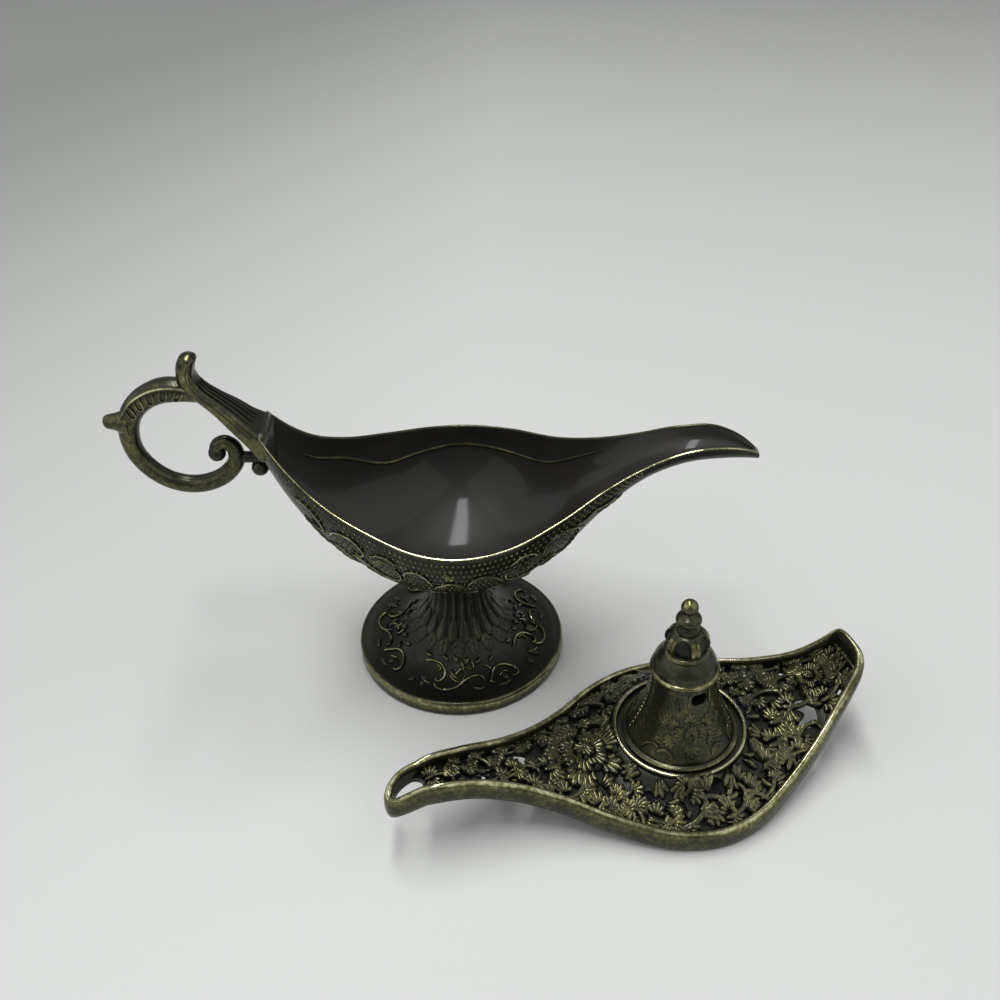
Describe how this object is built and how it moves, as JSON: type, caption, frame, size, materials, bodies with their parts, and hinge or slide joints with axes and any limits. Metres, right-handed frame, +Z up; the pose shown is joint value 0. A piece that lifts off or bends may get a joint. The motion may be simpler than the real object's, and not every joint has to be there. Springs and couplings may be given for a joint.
{
  "type": "genie oil lamp",
  "caption": "Cast metal genie oil lamp: open boat-shaped bowl with spout and scroll handle on a fluted foot, and an openwork lid with a turret lying beside it.",
  "frame": {"origin": "centre of the foot's underside, on the table plane", "axes": "+Z up, +X towards the spout, +Y away from the picture's camera; the lid lies at +X, -Y"},
  "size_m": [0.127, 0.0672, 0.0632],
  "materials": {
    "antique_brass": "antique plating: near-black patina in the recesses, brass rubbed bright on the edges",
    "fastener_steel": "plain plated steel"
  },
  "bodies": {
    "lamp": {"bowl": "antique_brass", "handle": "antique_brass", "foot": "antique_brass", "foot_screw": "fastener_steel", "foot_washer": "fastener_steel"},
    "lid": {"lid": "antique_brass", "turret": "antique_brass", "turret_finial": "antique_brass", "turret_washer": "fastener_steel", "turret_nut": "fastener_steel"}
  },
  "joints": [
    {"name": "lid_lift", "type": "slide", "parent": "lamp", "child": "lid", "axis": [0, 0, 1], "range_m": [0, 0.1]}
  ]
}
